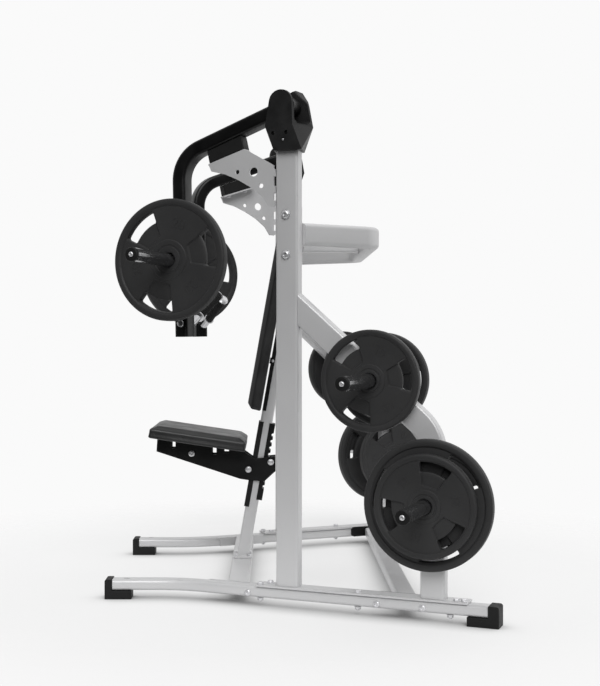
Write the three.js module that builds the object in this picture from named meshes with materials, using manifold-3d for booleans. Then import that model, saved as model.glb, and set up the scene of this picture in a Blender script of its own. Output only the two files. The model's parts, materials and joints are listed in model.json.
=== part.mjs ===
// Plate-loaded converging chest press: a seated press with two independent arms.
//
// Millimetres, +Z up, +X to the rear, the seated user faces -X, +Y is the user's right.
// The origin is the centre of the footprint, on the floor.
//
// Each side frame (rail, upright, storage brace, arm) stands in one vertical plane, and the two
// planes open towards the rear. A side's pieces are drawn for the right-hand side in that plane's
// own axes: x runs along the plane (0 at the upright's centre, + to the rear), y is across it
// (+ outward) and z is height. The left-hand side is the mirror image.

import * as THREE from 'three';
import { ConvexGeometry } from 'three/addons/geometries/ConvexGeometry.js';
import { mergeVertices } from 'three/addons/utils/BufferGeometryUtils.js';
import Module from 'manifold-3d';

const wasm = await Module();
wasm.setup();

// ---------------------------------------------------------------- driving dimensions

const SIDES = [{ name: 'left', sign: -1 }, { name: 'right', sign: 1 }];
const GAP = 0.3; // clearance between touching pieces

const SPLAY = THREE.MathUtils.degToRad(22.7); // side plane's angle to the machine's centre line
const UPRIGHT_X = -14;
const UPRIGHT_Y = 620;

const RAIL = { width: 60, height: 40, corner: 12, bottom: 32, bend: 500 };
const RAIL_TOP = RAIL.bottom + RAIL.height;
const RAIL_FRONT_Y = 453;
const FOOT = { width: 70, top: 74, round: 8 };
const FRONT_FOOT = { length: 100, cap: 28 };
const REAR_FOOT = { length: 110, cap: 38 };
const FLOOR_BOLT = { inset: 80, half: 6, radius: 6 }; // slot through each rail for bolting it down
const FRONT_END_X = -701;
const REAR_END = 770; // along the side plane

const BASE_PLATE = { front: -117, rear: 663, width: 70, thick: 7.7 };
const BASE_TOP = RAIL_TOP + GAP + BASE_PLATE.thick;

const UPRIGHT = { depth: 86, width: 50, corner: 10, top: 1649 };
const BRACE = { depth: 88, joinZ: 1077, slope: THREE.MathUtils.degToRad(41.3), post: 538, bend: 160 };

const FRONT_CROSS = { x: -200, width: 80, flangeFront: -335, flangeRear: -130, flange: 8 };
const REAR_CROSS = { x: 400, width: 70 };
const CROSS_CORNER = 8;
const BRACKET = { front: 324, rear: 527, low: 34, high: 79, thick: 12, corner: 12 };

const TIE = { height: 82, width: 50, corner: 16, z: 1352, rearX: 306, cornerY: 431.5, bend: 75 };
const TIE_ARM_REACH = 320; // run of each arm of the tie before it is trimmed at the upright
const TIE_LEAD = THREE.MathUtils.degToRad(30); // how far the tie's arms turn inward
const TIE_FLANGE = { half: 38, low: 1240, high: 1450, thick: 8 };

const PIVOT_Z = 1812;
const HOUSING = { halfWidth: 46, cheek: 9, top: 1877, floor: 1746, floorCorner: 14 };
const HOUSING_CROWN = { x: -17, z: 1824, r: 44 }; // round top of the outer cheek
const HOUSING_SHOULDER = [[-28, 1835], [-12, 1868], [10, HOUSING.top], [35, 1866], [56, 1833], [61, 1816]];
const HOUSING_WAIST = { front: -76, rear: 31, z: 1738 };
const HOUSING_FOOT = { front: -42, rear: 66 };
const HOUSING_SLOPE = { x: 34.7, z: 1840.5, tilt: THREE.MathUtils.degToRad(43), half: 60, rise: 21 };
const HOUSING_RECESSES = [[-45, 1712, 7], [6, 1713, 7], [-7, 1688, 6]]; // x, z and radius
const RECESS_DEPTH = 6;
const AXLE = { radius: 15, half: 42 };
const BEARING_R = 24;
const HUB_R = 33;

const ARM = { depth: 53, width: 72, corner: 12, slope: 0.37, bend: 125 };
const ARM_ELBOW_X = -435;
const ARM_END = { x: -421, z: 981 };

const HORN_R = 25;
const HORN_COLLAR = { radius: 38, thick: 10 };
const ARM_HORN = { x: -428, z: 1260, tip: 399, collar: 75, tilt: THREE.MathUtils.degToRad(1) };
const ARM_HORN_CLEAR = 1; // the tilted horn's stand-off from the arm
const UPPER_HORN = { x: 328, tip: 361, innerTip: -300 };
const LOWER_HORN = { x: 536, z: 408, tip: 378, innerTip: -300 };

const BIG_PLATE = { radius: 225, thick: 40 };
const SMALL_PLATE = { radius: 178, thick: 35 };
const INNER_PLATE = { radius: 168, thick: 35 };
const PLATE_BORE_R = 25.8;
const PLATE_SLOT = { inner: 0.66, outer: 0.85, half: THREE.MathUtils.degToRad(22), count: 3 };
const PLATE_TURN = { // degrees from the rear to the middle of a hand slot
  arm: 13, upperOuter: 9.5, upperInner: 52, lowerBig: 43.5, lowerOuter: 74, lowerInner: 61,
};

const HANDLE = { r: 14, z: 1029, elbow: -58, bend: 30 };
const GRIP = { r: 18, length: 150, fromTip: 6 };

const POST = { depth: 50, width: 60, lean: THREE.MathUtils.degToRad(10), footX: -210.3, top: 1421 };
const POST_CORNER = 8;
const POST_FLANGE = { halfLength: 38, halfWidth: 50 };
const GUIDE = { low: 283, high: 637, front: -30.5, rear: -10 };
const RACK = { low: 318, high: 636, front: 14, tip: 38, pitch: 27, notch: 8.5, firstNotch: 55 };
const SLEEVE = 3; // side wall of the guide and rack round the post

const BACK_PAD = { front: -88, rear: -30, low: 684, high: 1400, halfWidth: 150, chamfer: 19 };
const BACK_BRACKET = { low: 683, high: 1300, cheek: 4, rear: -9, strap: 24, straps: [890, 1210] };

// The seat pad's underside drops by the tilt for each unit towards the rear.
const SEAT_PAD = { halfWidth: 200, front: -573, tilt: 0.148, bottom: 576 };
const SEAT_PAD_OUTLINE = [[-573, 576], [-570, 612], [-545, 625], [-205, 575], [-181, 563], [-188, 519]];
const SEAT_PLATE = { inner: 34.6, thick: 8, front: -546, rear: -192 };
const SEAT_PAN = { front: -540, rear: -200, thick: 4 };
const SEAT_WINDOWS = [[-490, -472, 34], [-322, -304, 34], [-274, -253, 21]]; // front, rear and depth
const SEAT_SPACER = { x: -406, z: 500, radius: 10 };
const SEAT_ROLLER = { x: -173, z: 435, radius: 8 };
const LOCK_PIN = { x: -81.5, z: 465, radius: 7, proud: 3 };

// ---------------------------------------------------------------- materials

function finish(color, roughness, metalness) {
  return new THREE.MeshStandardMaterial({ color, roughness, metalness });
}

const silverPaint = finish(0xb4b4b4, 0.42, 0.35);
const blackPaint = finish(0x161616, 0.5, 0.2);
const rubber = finish(0x101010, 0.85, 0.0);
const plateRubber = finish(0x242424, 0.7, 0.0);
const vinyl = finish(0x1c1c1c, 0.55, 0.0);
const chrome = finish(0xd8d8d8, 0.12, 1.0);
const steel = finish(0x9a9a9a, 0.3, 0.9);

// ---------------------------------------------------------------- solids and booleans

function weld(geometry) {
  const bare = geometry.clone();
  bare.deleteAttribute('normal');
  bare.deleteAttribute('uv');
  return mergeVertices(bare, 1e-3);
}

function flipped(geometry) {
  const turned = geometry.index ? geometry.clone() : weld(geometry);
  const index = turned.index.array;
  for (let i = 0; i < index.length; i += 3) {
    [index[i], index[i + 1]] = [index[i + 1], index[i]];
  }
  return turned;
}

function solid(geometry) {
  const welded = weld(geometry);
  return new wasm.Manifold(new wasm.Mesh({
    numProp: 3,
    vertProperties: new Float32Array(welded.attributes.position.array),
    triVerts: new Uint32Array(welded.index.array),
  }));
}

function geometryOf(manifold) {
  const mesh = manifold.getMesh();
  const geometry = new THREE.BufferGeometry();
  geometry.setAttribute('position', new THREE.BufferAttribute(new Float32Array(mesh.vertProperties), 3));
  geometry.setIndex(new THREE.BufferAttribute(new Uint32Array(mesh.triVerts), 1));
  return geometry;
}

function join(first, ...others) {
  return geometryOf(others.reduce((whole, piece) => whole.add(solid(piece)), solid(first)));
}

function cut(base, ...tools) {
  return geometryOf(tools.reduce((whole, tool) => whole.subtract(solid(tool)), solid(base)));
}

function common(first, second) {
  return geometryOf(solid(first).intersect(solid(second)));
}

// ---------------------------------------------------------------- outlines and primitive shapes

function arc(cx, cy, radius, from, to, steps) {
  const points = [];
  for (let i = 0; i <= steps; i += 1) {
    const angle = from + (to - from) * i / steps;
    points.push([cx + radius * Math.cos(angle), cy + radius * Math.sin(angle)]);
  }
  return points;
}

function circle(cx, cy, radius, steps) {
  return arc(cx, cy, radius, 0, 2 * Math.PI, steps).slice(0, -1);
}

function roundedBox(width, height, radius, steps = 3) {
  const x = width / 2 - radius;
  const y = height / 2 - radius;
  const quarter = Math.PI / 2;
  return [
    ...arc(x, y, radius, 0, quarter, steps),
    ...arc(-x, y, radius, quarter, 2 * quarter, steps),
    ...arc(-x, -y, radius, 2 * quarter, 3 * quarter, steps),
    ...arc(x, -y, radius, 3 * quarter, 4 * quarter, steps),
  ];
}

function shapeOf(outline, holes = []) {
  const shape = new THREE.Shape(outline.map(([x, y]) => new THREE.Vector2(x, y)));
  shape.holes = holes.map((hole) => new THREE.Path(hole.map(([x, y]) => new THREE.Vector2(x, y))));
  return shape;
}

function extruded(outline, depth, holes) {
  return new THREE.ExtrudeGeometry(shapeOf(outline, holes), { depth, bevelEnabled: false });
}

// An outline in x and z, as thick as from y0 to y1.
function sheet(outline, y0, y1, holes = []) {
  return extruded(outline, y1 - y0, holes).rotateX(Math.PI / 2).translate(0, y1, 0);
}

// An outline in x and y, standing from z0 to z1.
function prism(outline, z0, z1, holes = []) {
  return extruded(outline, z1 - z0, holes).translate(0, 0, z0);
}

function box(x0, x1, y0, y1, z0, z1) {
  const geometry = new THREE.BoxGeometry(x1 - x0, y1 - y0, z1 - z0);
  return geometry.translate((x0 + x1) / 2, (y0 + y1) / 2, (z0 + z1) / 2);
}

// A round bar along y.
function bar(radius, y0, y1, x = 0, z = 0, steps = 24) {
  return new THREE.CylinderGeometry(radius, radius, y1 - y0, steps).translate(x, (y0 + y1) / 2, z);
}

// A ring about the y axis.
function ring(inner, outer, y0, y1, steps = 24) {
  const profile = [[inner, y0], [outer, y0], [outer, y1], [inner, y1], [inner, y0]];
  return new THREE.LatheGeometry(profile.map(([r, y]) => new THREE.Vector2(r, y)), steps);
}

// A path of straight runs with rounded corners, with a station only where the direction changes.
class BentPath extends THREE.Curve {
  constructor(corners, bend, steps = 7) {
    super();
    const points = corners.map((corner) => new THREE.Vector3(...corner));
    const last = points.length - 1;
    const heading = (i) => points[i + 1].clone().sub(points[i]).normalize();
    this.stations = [{ point: points[0], tangent: heading(0) }];
    for (let i = 1; i < last; i += 1) {
      this.addBend(points[i], heading(i - 1), heading(i), bend, steps);
    }
    this.stations.push({ point: points[last], tangent: heading(last - 1) });
  }

  addBend(corner, before, after, bend, steps) {
    const turn = before.angleTo(after);
    const reach = bend * Math.tan(turn / 2);
    const side = after.clone().addScaledVector(before, -before.dot(after)).normalize();
    const start = corner.clone().addScaledVector(before, -reach);
    for (let i = 0; i <= steps; i += 1) {
      const angle = turn * i / steps;
      const point = start.clone().addScaledVector(before, bend * Math.sin(angle));
      point.addScaledVector(side, bend * (1 - Math.cos(angle)));
      const tangent = before.clone().multiplyScalar(Math.cos(angle)).addScaledVector(side, Math.sin(angle));
      this.stations.push({ point, tangent });
    }
  }

  station(u) {
    return this.stations[Math.round(u * (this.stations.length - 1))];
  }

  getPointAt(u) {
    return this.station(u).point.clone();
  }

  getTangentAt(u) {
    return this.station(u).tangent.clone();
  }
}

// A section swept along a path. The section's first side lies across the plane of the bends.
function sweep(outline, corners, bend = 0, steps = 7) {
  const path = new BentPath(corners, bend, steps);
  const options = { steps: path.stations.length - 1, bevelEnabled: false, extrudePath: path };
  return new THREE.ExtrudeGeometry(shapeOf(outline), options);
}

// ---------------------------------------------------------------- the assembly

const machine = new THREE.Group();

function sideGroup(side) {
  const group = new THREE.Group();
  group.position.set(UPRIGHT_X, side.sign * UPRIGHT_Y, 0);
  group.rotation.z = side.sign * SPLAY;
  machine.add(group);
  return group;
}

function addPiece(parent, name, material, geometry, position = [0, 0, 0]) {
  const mesh = new THREE.Mesh(weld(geometry), material);
  mesh.geometry.computeVertexNormals();
  mesh.name = name;
  mesh.position.set(...position);
  parent.add(mesh);
  return mesh;
}

// Adds a right-hand piece, or its mirror image on the left-hand side.
function addSided(parent, side, name, material, geometry, position = [0, 0, 0]) {
  const mirrored = side.sign > 0 ? geometry : flipped(weld(geometry)).scale(1, -1, 1);
  const [x, y, z] = position;
  return addPiece(parent, `${side.name}_${name}`, material, mirrored, [x, side.sign * y, z]);
}

// Everything further out than y in the right-hand side's own axes, as a cutting tool in the machine's.
function outsideOf(y, sign) {
  const far = 3000;
  const tool = box(-far, far, y, far, -far, far);
  tool.rotateZ(SPLAY).translate(UPRIGHT_X, UPRIGHT_Y, 0);
  return sign > 0 ? tool : flipped(weld(tool)).scale(1, -1, 1);
}

// ---------------------------------------------------------------- base

function addRail(side) {
  const bendX = UPRIGHT_X - (UPRIGHT_Y - RAIL_FRONT_Y) / Math.tan(SPLAY);
  const rear = REAR_END - REAR_FOOT.cap - GAP;
  const z = RAIL.bottom + RAIL.height / 2;
  const corners = [
    [FRONT_END_X + FRONT_FOOT.cap + GAP, RAIL_FRONT_Y, z],
    [bendX, RAIL_FRONT_Y, z],
    [UPRIGHT_X + rear * Math.cos(SPLAY), UPRIGHT_Y + rear * Math.sin(SPLAY), z],
  ];
  const tube = sweep(roundedBox(RAIL.height, RAIL.width, RAIL.corner), corners, RAIL.bend);
  const boltX = FRONT_END_X + FLOOR_BOLT.inset;
  const { half, radius } = FLOOR_BOLT;
  const slot = [
    ...arc(boltX + half, RAIL_FRONT_Y, radius, -Math.PI / 2, Math.PI / 2, 5),
    ...arc(boltX - half, RAIL_FRONT_Y, radius, Math.PI / 2, 3 * Math.PI / 2, 5),
  ];
  addSided(machine, side, 'base_rail', silverPaint, cut(tube, prism(slot, 0, UPRIGHT.top)));
}

function footOutline({ length, cap }) {
  const soleTop = RAIL.bottom - GAP;
  const { round } = FOOT;
  return [
    [0, 0],
    [length, 0],
    [length, soleTop],
    [cap, soleTop],
    [cap, FOOT.top],
    ...arc(round, FOOT.top - round, round, Math.PI / 2, Math.PI, 3),
  ];
}

function addFeet(side, group) {
  const half = FOOT.width / 2;
  const foot = sheet(footOutline(FRONT_FOOT), -half, half);
  addSided(machine, side, 'front_foot', rubber, foot, [FRONT_END_X, RAIL_FRONT_Y, 0]);
  const reversed = flipped(weld(sheet(footOutline(REAR_FOOT), -half, half))).scale(-1, 1, 1);
  addSided(group, side, 'rear_foot', rubber, reversed, [REAR_END, 0, 0]);
}

function addBasePlate(side, group) {
  const half = BASE_PLATE.width / 2;
  const low = RAIL_TOP + GAP;
  const plate = box(BASE_PLATE.front, BASE_PLATE.rear, -half, half, low, BASE_TOP);
  addSided(group, side, 'base_plate', silverPaint, plate);
}

function crossTube(width, x) {
  const reach = 1000;
  const z = RAIL.bottom + RAIL.height / 2;
  return sweep(roundedBox(RAIL.height, width, CROSS_CORNER), [[x, -reach, z], [x, reach, z]]);
}

function addFrontCrossmember() {
  const face = -RAIL.width / 2 - GAP;
  const back = face - FRONT_CROSS.flange;
  let beam = crossTube(FRONT_CROSS.width, FRONT_CROSS.x);
  for (const side of SIDES) {
    beam = cut(beam, outsideOf(back + 1, side.sign));
  }
  for (const side of SIDES) {
    const low = RAIL.bottom + 1;
    const flange = box(FRONT_CROSS.flangeFront, FRONT_CROSS.flangeRear, back, face, low, RAIL_TOP - 1);
    flange.rotateZ(SPLAY).translate(UPRIGHT_X, UPRIGHT_Y, 0);
    beam = join(beam, side.sign > 0 ? flange : flipped(weld(flange)).scale(1, -1, 1));
  }
  addPiece(machine, 'front_crossmember', silverPaint, beam);
}

function addRearCrossmember() {
  const end = -RAIL.width / 2 - 2 * GAP - BRACKET.thick;
  const beam = crossTube(REAR_CROSS.width, REAR_CROSS.x);
  addPiece(machine, 'rear_crossmember', silverPaint, cut(beam, outsideOf(end, 1), outsideOf(end, -1)));
}

// A black end block bolted to the rail's inner face. Its upper part clears the base plate's edge.
function addRearBracket(side, group) {
  const face = -RAIL.width / 2 - GAP;
  const middleX = (BRACKET.front + BRACKET.rear) / 2;
  const middleZ = (BRACKET.low + BRACKET.high) / 2;
  const rounded = roundedBox(BRACKET.rear - BRACKET.front, BRACKET.high - BRACKET.low, BRACKET.corner);
  const block = sheet(rounded.map(([x, z]) => [x + middleX, z + middleZ]), face - BRACKET.thick, face);
  const edge = -BASE_PLATE.width / 2 - GAP;
  const plateRoom = box(BRACKET.front - 1, BRACKET.rear + 1, edge, face + 1, RAIL_TOP, BRACKET.high + 1);
  addSided(group, side, 'rear_crossmember_bracket', blackPaint, cut(block, plateRoom));
}

// ---------------------------------------------------------------- uprights and storage braces

function addUpright(side, group) {
  const outline = roundedBox(UPRIGHT.depth, UPRIGHT.width, UPRIGHT.corner);
  const tube = prism(outline, BASE_TOP + GAP, UPRIGHT.top - GAP);
  addSided(group, side, 'upright', silverPaint, tube);
}

function braceHeight(x) {
  return BRACE.joinZ - (x - UPRIGHT.depth / 2) * Math.tan(BRACE.slope);
}

function addBrace(side, group) {
  const corners = [
    [0, 0, braceHeight(0)],
    [BRACE.post, 0, braceHeight(BRACE.post)],
    [BRACE.post, 0, BASE_TOP + GAP],
  ];
  const tube = sweep(roundedBox(UPRIGHT.width, BRACE.depth, UPRIGHT.corner), corners, BRACE.bend, 8);
  const front = UPRIGHT.depth / 2 + GAP;
  const inUpright = box(-200, front, -100, 100, 0, 2000);
  const upperHole = bar(HORN_R + GAP, -100, 100, UPPER_HORN.x, braceHeight(UPPER_HORN.x));
  const lowerHole = bar(HORN_R + GAP, -100, 100, LOWER_HORN.x, LOWER_HORN.z);
  addSided(group, side, 'storage_brace', silverPaint, cut(tube, inUpright, upperHole, lowerHole));
}

function storageHorn(spec) {
  const face = UPRIGHT.width / 2 + GAP;
  const outer = ring(HORN_R - 2, HORN_COLLAR.radius, face, face + HORN_COLLAR.thick);
  const inner = ring(HORN_R - 2, HORN_COLLAR.radius, -face - HORN_COLLAR.thick, -face);
  return join(bar(HORN_R, spec.innerTip, spec.tip), outer, inner);
}

function addStorageHorns(side, group) {
  const upperZ = braceHeight(UPPER_HORN.x);
  addSided(group, side, 'upper_storage_horn', chrome, storageHorn(UPPER_HORN), [UPPER_HORN.x, 0, upperZ]);
  const lower = storageHorn(LOWER_HORN);
  addSided(group, side, 'lower_storage_horn', chrome, lower, [LOWER_HORN.x, 0, LOWER_HORN.z]);
}

// ---------------------------------------------------------------- rear tie and strut

function addRearTie() {
  const ends = SIDES.map(({ sign }) => {
    const x = TIE.rearX - TIE_ARM_REACH;
    return [x, sign * (TIE.cornerY + TIE_ARM_REACH * Math.tan(TIE_LEAD)), TIE.z];
  });
  const corners = [
    ends[0],
    [TIE.rearX, -TIE.cornerY, TIE.z],
    [TIE.rearX, TIE.cornerY, TIE.z],
    ends[1],
  ];
  let tie = sweep(roundedBox(TIE.height, TIE.width, TIE.corner), corners, TIE.bend, 5);
  const face = -UPRIGHT.width / 2 - GAP;
  const back = face - TIE_FLANGE.thick;
  for (const side of SIDES) {
    tie = cut(tie, outsideOf(back + 1, side.sign));
  }
  for (const side of SIDES) {
    const { half, low, high } = TIE_FLANGE;
    const flange = box(-half, half, back, face, low, high);
    flange.rotateZ(SPLAY).translate(UPRIGHT_X, UPRIGHT_Y, 0);
    tie = join(tie, side.sign > 0 ? flange : flipped(weld(flange)).scale(1, -1, 1));
  }
  addPiece(machine, 'rear_tie', silverPaint, tie);
}

function addBackStrut() {
  const size = 50;
  const end = TIE.rearX - TIE.width / 2 - GAP;
  const tube = sweep(roundedBox(size, size, POST_CORNER), [[-100, 0, TIE.z], [end, 0, TIE.z]]);
  const inPost = fromPost(box(-500, POST.depth / 2 + GAP, -100, 100, 0, 2000));
  addPiece(machine, 'back_strut', silverPaint, cut(tube, inPost));
}

// ---------------------------------------------------------------- pivot housings and press arms

// The cast head is faceted. The outer cheek has a round crown and the inner one a taller, sloping
// shoulder; below the waist both are the same, turned end for end, so the end faces lie on the skew.
function housingBody() {
  const half = HOUSING.halfWidth;
  const crown = arc(HOUSING_CROWN.x, HOUSING_CROWN.z, HOUSING_CROWN.r, 0, Math.PI, 12);
  const waist = [[HOUSING_WAIST.front, HOUSING_WAIST.z], [HOUSING_WAIST.rear, HOUSING_WAIST.z]];
  const foot = [[HOUSING_FOOT.front, UPRIGHT.top], [HOUSING_FOOT.rear, UPRIGHT.top]];
  const turned = (points) => points.map(([x, z]) => [-x, z]);
  const between = (outer, inner) => new ConvexGeometry([
    ...outer.map(([x, z]) => new THREE.Vector3(x, half, z)),
    ...inner.map(([x, z]) => new THREE.Vector3(x, -half, z)),
  ]);
  const head = between([...crown, ...waist], [...HOUSING_SHOULDER, ...turned(waist)]);
  return join(head, between([...waist, ...foot], turned([...waist, ...foot])));
}

// The wedge that slopes the inner cheek's rear shoulder down to the slot.
function shoulderWedge() {
  const { x, z, tilt, half, rise } = HOUSING_SLOPE;
  const outside = -HOUSING.halfWidth - 1;
  const inside = -HOUSING.halfWidth + HOUSING.cheek;
  const corners = [];
  for (const along of [-half, half]) {
    for (const [up, y] of [[0, inside], [rise, outside], [half, inside], [half, outside]]) {
      const px = x + along * Math.cos(tilt) + up * Math.sin(tilt);
      const pz = z - along * Math.sin(tilt) + up * Math.cos(tilt);
      corners.push(new THREE.Vector3(px, y, pz));
    }
  }
  return new ConvexGeometry(corners);
}

// The slot between the cheeks, open to the front, the rear and the top, with a chamfered floor.
function housingSlot() {
  const inside = HOUSING.halfWidth - HOUSING.cheek;
  const { floor, floorCorner, top } = HOUSING;
  const section = [
    [inside - floorCorner, floor],
    [inside, floor + floorCorner],
    [inside, top + 10],
    [-inside, top + 10],
    [-inside, floor + floorCorner],
    [-inside + floorCorner, floor],
  ];
  return sheet(section, -150, 150).rotateZ(Math.PI / 2);
}

function addHousing(side, group) {
  const half = HOUSING.halfWidth;
  const reach = AXLE.half + GAP;
  const bore = bar(AXLE.radius + GAP, -reach, reach, 0, PIVOT_Z, 16);
  const deep = half - RECESS_DEPTH;
  const holes = HOUSING_RECESSES.map(([x, z, r]) => bar(r, deep, half + RECESS_DEPTH, x, z, 12));
  const head = cut(housingBody(), housingSlot(), shoulderWedge(), bore, ...holes);
  addSided(group, side, 'pivot_housing', blackPaint, head);
  const axle = bar(AXLE.radius, -AXLE.half, AXLE.half, 0, 0, 16);
  addSided(group, side, 'pivot_axle', steel, axle, [0, 0, PIVOT_Z]);
}

function armHeight(x) {
  return PIVOT_Z + ARM.slope * x;
}

function addArm(side, group) {
  const half = ARM.width / 2 - GAP;
  const hub = bar(HUB_R, -half, half, 0, PIVOT_Z);
  const corners = [
    [0, 0, armHeight(0)],
    [ARM_ELBOW_X, 0, armHeight(ARM_ELBOW_X)],
    [ARM_END.x, 0, ARM_END.z],
  ];
  const tube = sweep(roundedBox(ARM.width, ARM.depth, ARM.corner), corners, ARM.bend, 8);
  const bore = bar(BEARING_R + GAP, -100, 100, 0, PIVOT_Z);
  const handleHole = bar(HANDLE.r + GAP, -100, 100, ARM_END.x, HANDLE.z, 16);
  addSided(group, side, 'press_arm', blackPaint, cut(join(tube, hub), bore, handleHole));
  const sleeve = ring(AXLE.radius + GAP, BEARING_R, -half, half, 20);
  addSided(group, side, 'pivot_bearing', steel, sleeve, [0, 0, PIVOT_Z]);
}

function addArmHorn(side, group) {
  const face = ARM.width / 2 + ARM_HORN_CLEAR;
  const stop = ARM_HORN.collar;
  const collar = ring(HORN_R - 2, HORN_COLLAR.radius, stop, stop + HORN_COLLAR.thick);
  const horn = join(bar(HORN_R, face, ARM_HORN.tip), collar);
  const mesh = addSided(group, side, 'arm_horn', chrome, horn, [ARM_HORN.x, 0, ARM_HORN.z]);
  mesh.rotation.x = side.sign * ARM_HORN.tilt;
}

// ---------------------------------------------------------------- arm stops

const STOP_TOP = [[-312, 1618], [-166, 1666]]; // the gusset's top edge, front to rear
const GUSSET = { outer: 25, thick: 8, standOff: 7, rearTop: 1600, rearLow: 1449, flange: 6 };
const GUSSET_TABS = [[1560, 1585], [1500, 1525], [1452, 1472]]; // low and high
const GUSSET_HOLES = [[-130, 1580, 17], [-100, 1528, 9], [-195, 1583, 8.5]]; // x, z and radius
const GUSSET_BELLY = [[-97, 1489], [-141, 1524], [-191, 1553], [-245, 1577], [-300, 1590]];
const STOP_BLOCK = { halfWidth: 27, front: -307, rear: -168, frontLean: 10, rearLean: 12 };

function stopHeight(x) {
  const [[x0, z0], [x1, z1]] = STOP_TOP;
  return z0 + (x - x0) * (z1 - z0) / (x1 - x0);
}

// A plate in line with the upright's outer face, welded on by tabs, with a flange turned inward on top.
function addGusset(side, group) {
  const rear = -UPRIGHT.depth / 2 - GAP;
  const edge = rear - GUSSET.standOff;
  const inner = GUSSET.outer - GUSSET.thick;
  const belly = [[edge - 22, GUSSET.rearLow + 2], ...GUSSET_BELLY];
  const outline = [...STOP_TOP, [edge, GUSSET.rearTop], [edge, GUSSET.rearLow], ...belly].reverse();
  const plate = sheet(outline, inner, GUSSET.outer);
  const tabs = GUSSET_TABS.map(([z0, z1]) => box(edge - 2, rear, inner, GUSSET.outer, z0, z1));
  const [front, back] = STOP_TOP;
  const under = [[back[0], back[1] - GUSSET.flange], [front[0], front[1] - GUSSET.flange]];
  const flange = sheet([front, back, ...under], -STOP_BLOCK.halfWidth, GUSSET.outer);
  const drills = GUSSET_HOLES.map(([x, z, r]) => bar(r, inner - 5, GUSSET.outer + 5, x, z, 14));
  addSided(group, side, 'stop_gusset', silverPaint, cut(join(plate, flange, ...tabs), ...drills));
}

// The block under the arm that comes to rest on the gusset.
function addStopBlock(side, group) {
  const under = (x) => armHeight(x) - ARM.depth / 2 / Math.cos(Math.atan(ARM.slope)) - GAP;
  const { front, rear, frontLean, rearLean, halfWidth } = STOP_BLOCK;
  const outline = [
    [front, stopHeight(front) + GAP],
    [rear, stopHeight(rear) + GAP],
    [rear - rearLean, under(rear - rearLean)],
    [front - frontLean, under(front - frontLean)],
  ];
  addSided(group, side, 'arm_stop_block', rubber, sheet(outline, -halfWidth, halfWidth));
}

// ---------------------------------------------------------------- handles

const HANDLE_TIP = new THREE.Vector3(-394, -235, 1142);
const HANDLE_ELBOW = new THREE.Vector3(ARM_END.x, HANDLE.elbow, HANDLE.z);

function addHandle(side, group) {
  const corners = [
    [ARM_END.x, ARM.width / 2 + 5, HANDLE.z],
    HANDLE_ELBOW.toArray(),
    HANDLE_TIP.toArray(),
  ];
  const handleBar = sweep(circle(0, 0, HANDLE.r, 14), corners, HANDLE.bend, 4);
  addSided(group, side, 'handle_bar', chrome, handleBar);

  const along = HANDLE_TIP.clone().sub(HANDLE_ELBOW).normalize();
  const sleeve = ring(HANDLE.r + GAP, GRIP.r, -GRIP.length, 0, 16).translate(0, -GRIP.fromTip, 0);
  const turn = new THREE.Quaternion().setFromUnitVectors(new THREE.Vector3(0, 1, 0), along);
  sleeve.applyQuaternion(turn);
  addSided(group, side, 'handle_grip', rubber, sleeve, HANDLE_TIP.toArray());
}

// ---------------------------------------------------------------- weight plates

// A disc about the y axis with curved hand slots and a bore, its back face at y = 0.
function weightPlate(spec, turn) {
  const slots = [];
  const { inner, outer, half, count } = PLATE_SLOT;
  for (let i = 0; i < count; i += 1) {
    const middle = THREE.MathUtils.degToRad(turn) + i * 2 * Math.PI / count;
    slots.push([
      ...arc(0, 0, spec.radius * outer, middle - half, middle + half, 5),
      ...arc(0, 0, spec.radius * inner, middle + half, middle - half, 5),
    ]);
  }
  const holes = [circle(0, 0, PLATE_BORE_R, 18), ...slots];
  return sheet(circle(0, 0, spec.radius, 36), 0, spec.thick, holes);
}

function addPlates(side, group) {
  const clear = 0.5;
  const armY = ARM_HORN.collar + HORN_COLLAR.thick + 2 * clear;
  const armZ = ARM_HORN.z + armY * Math.tan(ARM_HORN.tilt);
  const armPlate = weightPlate(BIG_PLATE, PLATE_TURN.arm);
  const mesh = addSided(group, side, 'arm_plate', plateRubber, armPlate, [ARM_HORN.x, armY, armZ]);
  mesh.rotation.x = side.sign * ARM_HORN.tilt;

  const upperZ = braceHeight(UPPER_HORN.x);
  const upperY = 45;
  const lowerY = 48;
  const nextY = lowerY + BIG_PLATE.thick + clear;
  const behind = (y) => -y - SMALL_PLATE.thick;
  const further = 22;
  const hung = [
    ['upper_outer_plate', SMALL_PLATE, PLATE_TURN.upperOuter, UPPER_HORN.x, upperY, upperZ],
    ['upper_inner_plate', INNER_PLATE, PLATE_TURN.upperInner, UPPER_HORN.x, behind(upperY + further), upperZ],
    ['lower_big_plate', BIG_PLATE, PLATE_TURN.lowerBig, LOWER_HORN.x, lowerY, LOWER_HORN.z],
    ['lower_outer_plate', SMALL_PLATE, PLATE_TURN.lowerOuter, LOWER_HORN.x, nextY, LOWER_HORN.z],
    ['lower_inner_plate', SMALL_PLATE, PLATE_TURN.lowerInner, LOWER_HORN.x, behind(lowerY), LOWER_HORN.z],
  ];
  for (const [name, spec, turn, x, y, z] of hung) {
    addSided(group, side, name, plateRubber, weightPlate(spec, turn), [x, y, z]);
  }
}

// ---------------------------------------------------------------- seat post and back rest

// Pieces on the leaning post are drawn upright about x = 0, then laid back with it.
function fromPost(geometry) {
  return geometry.rotateY(POST.lean).translate(POST.footX, 0, 0);
}

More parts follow.
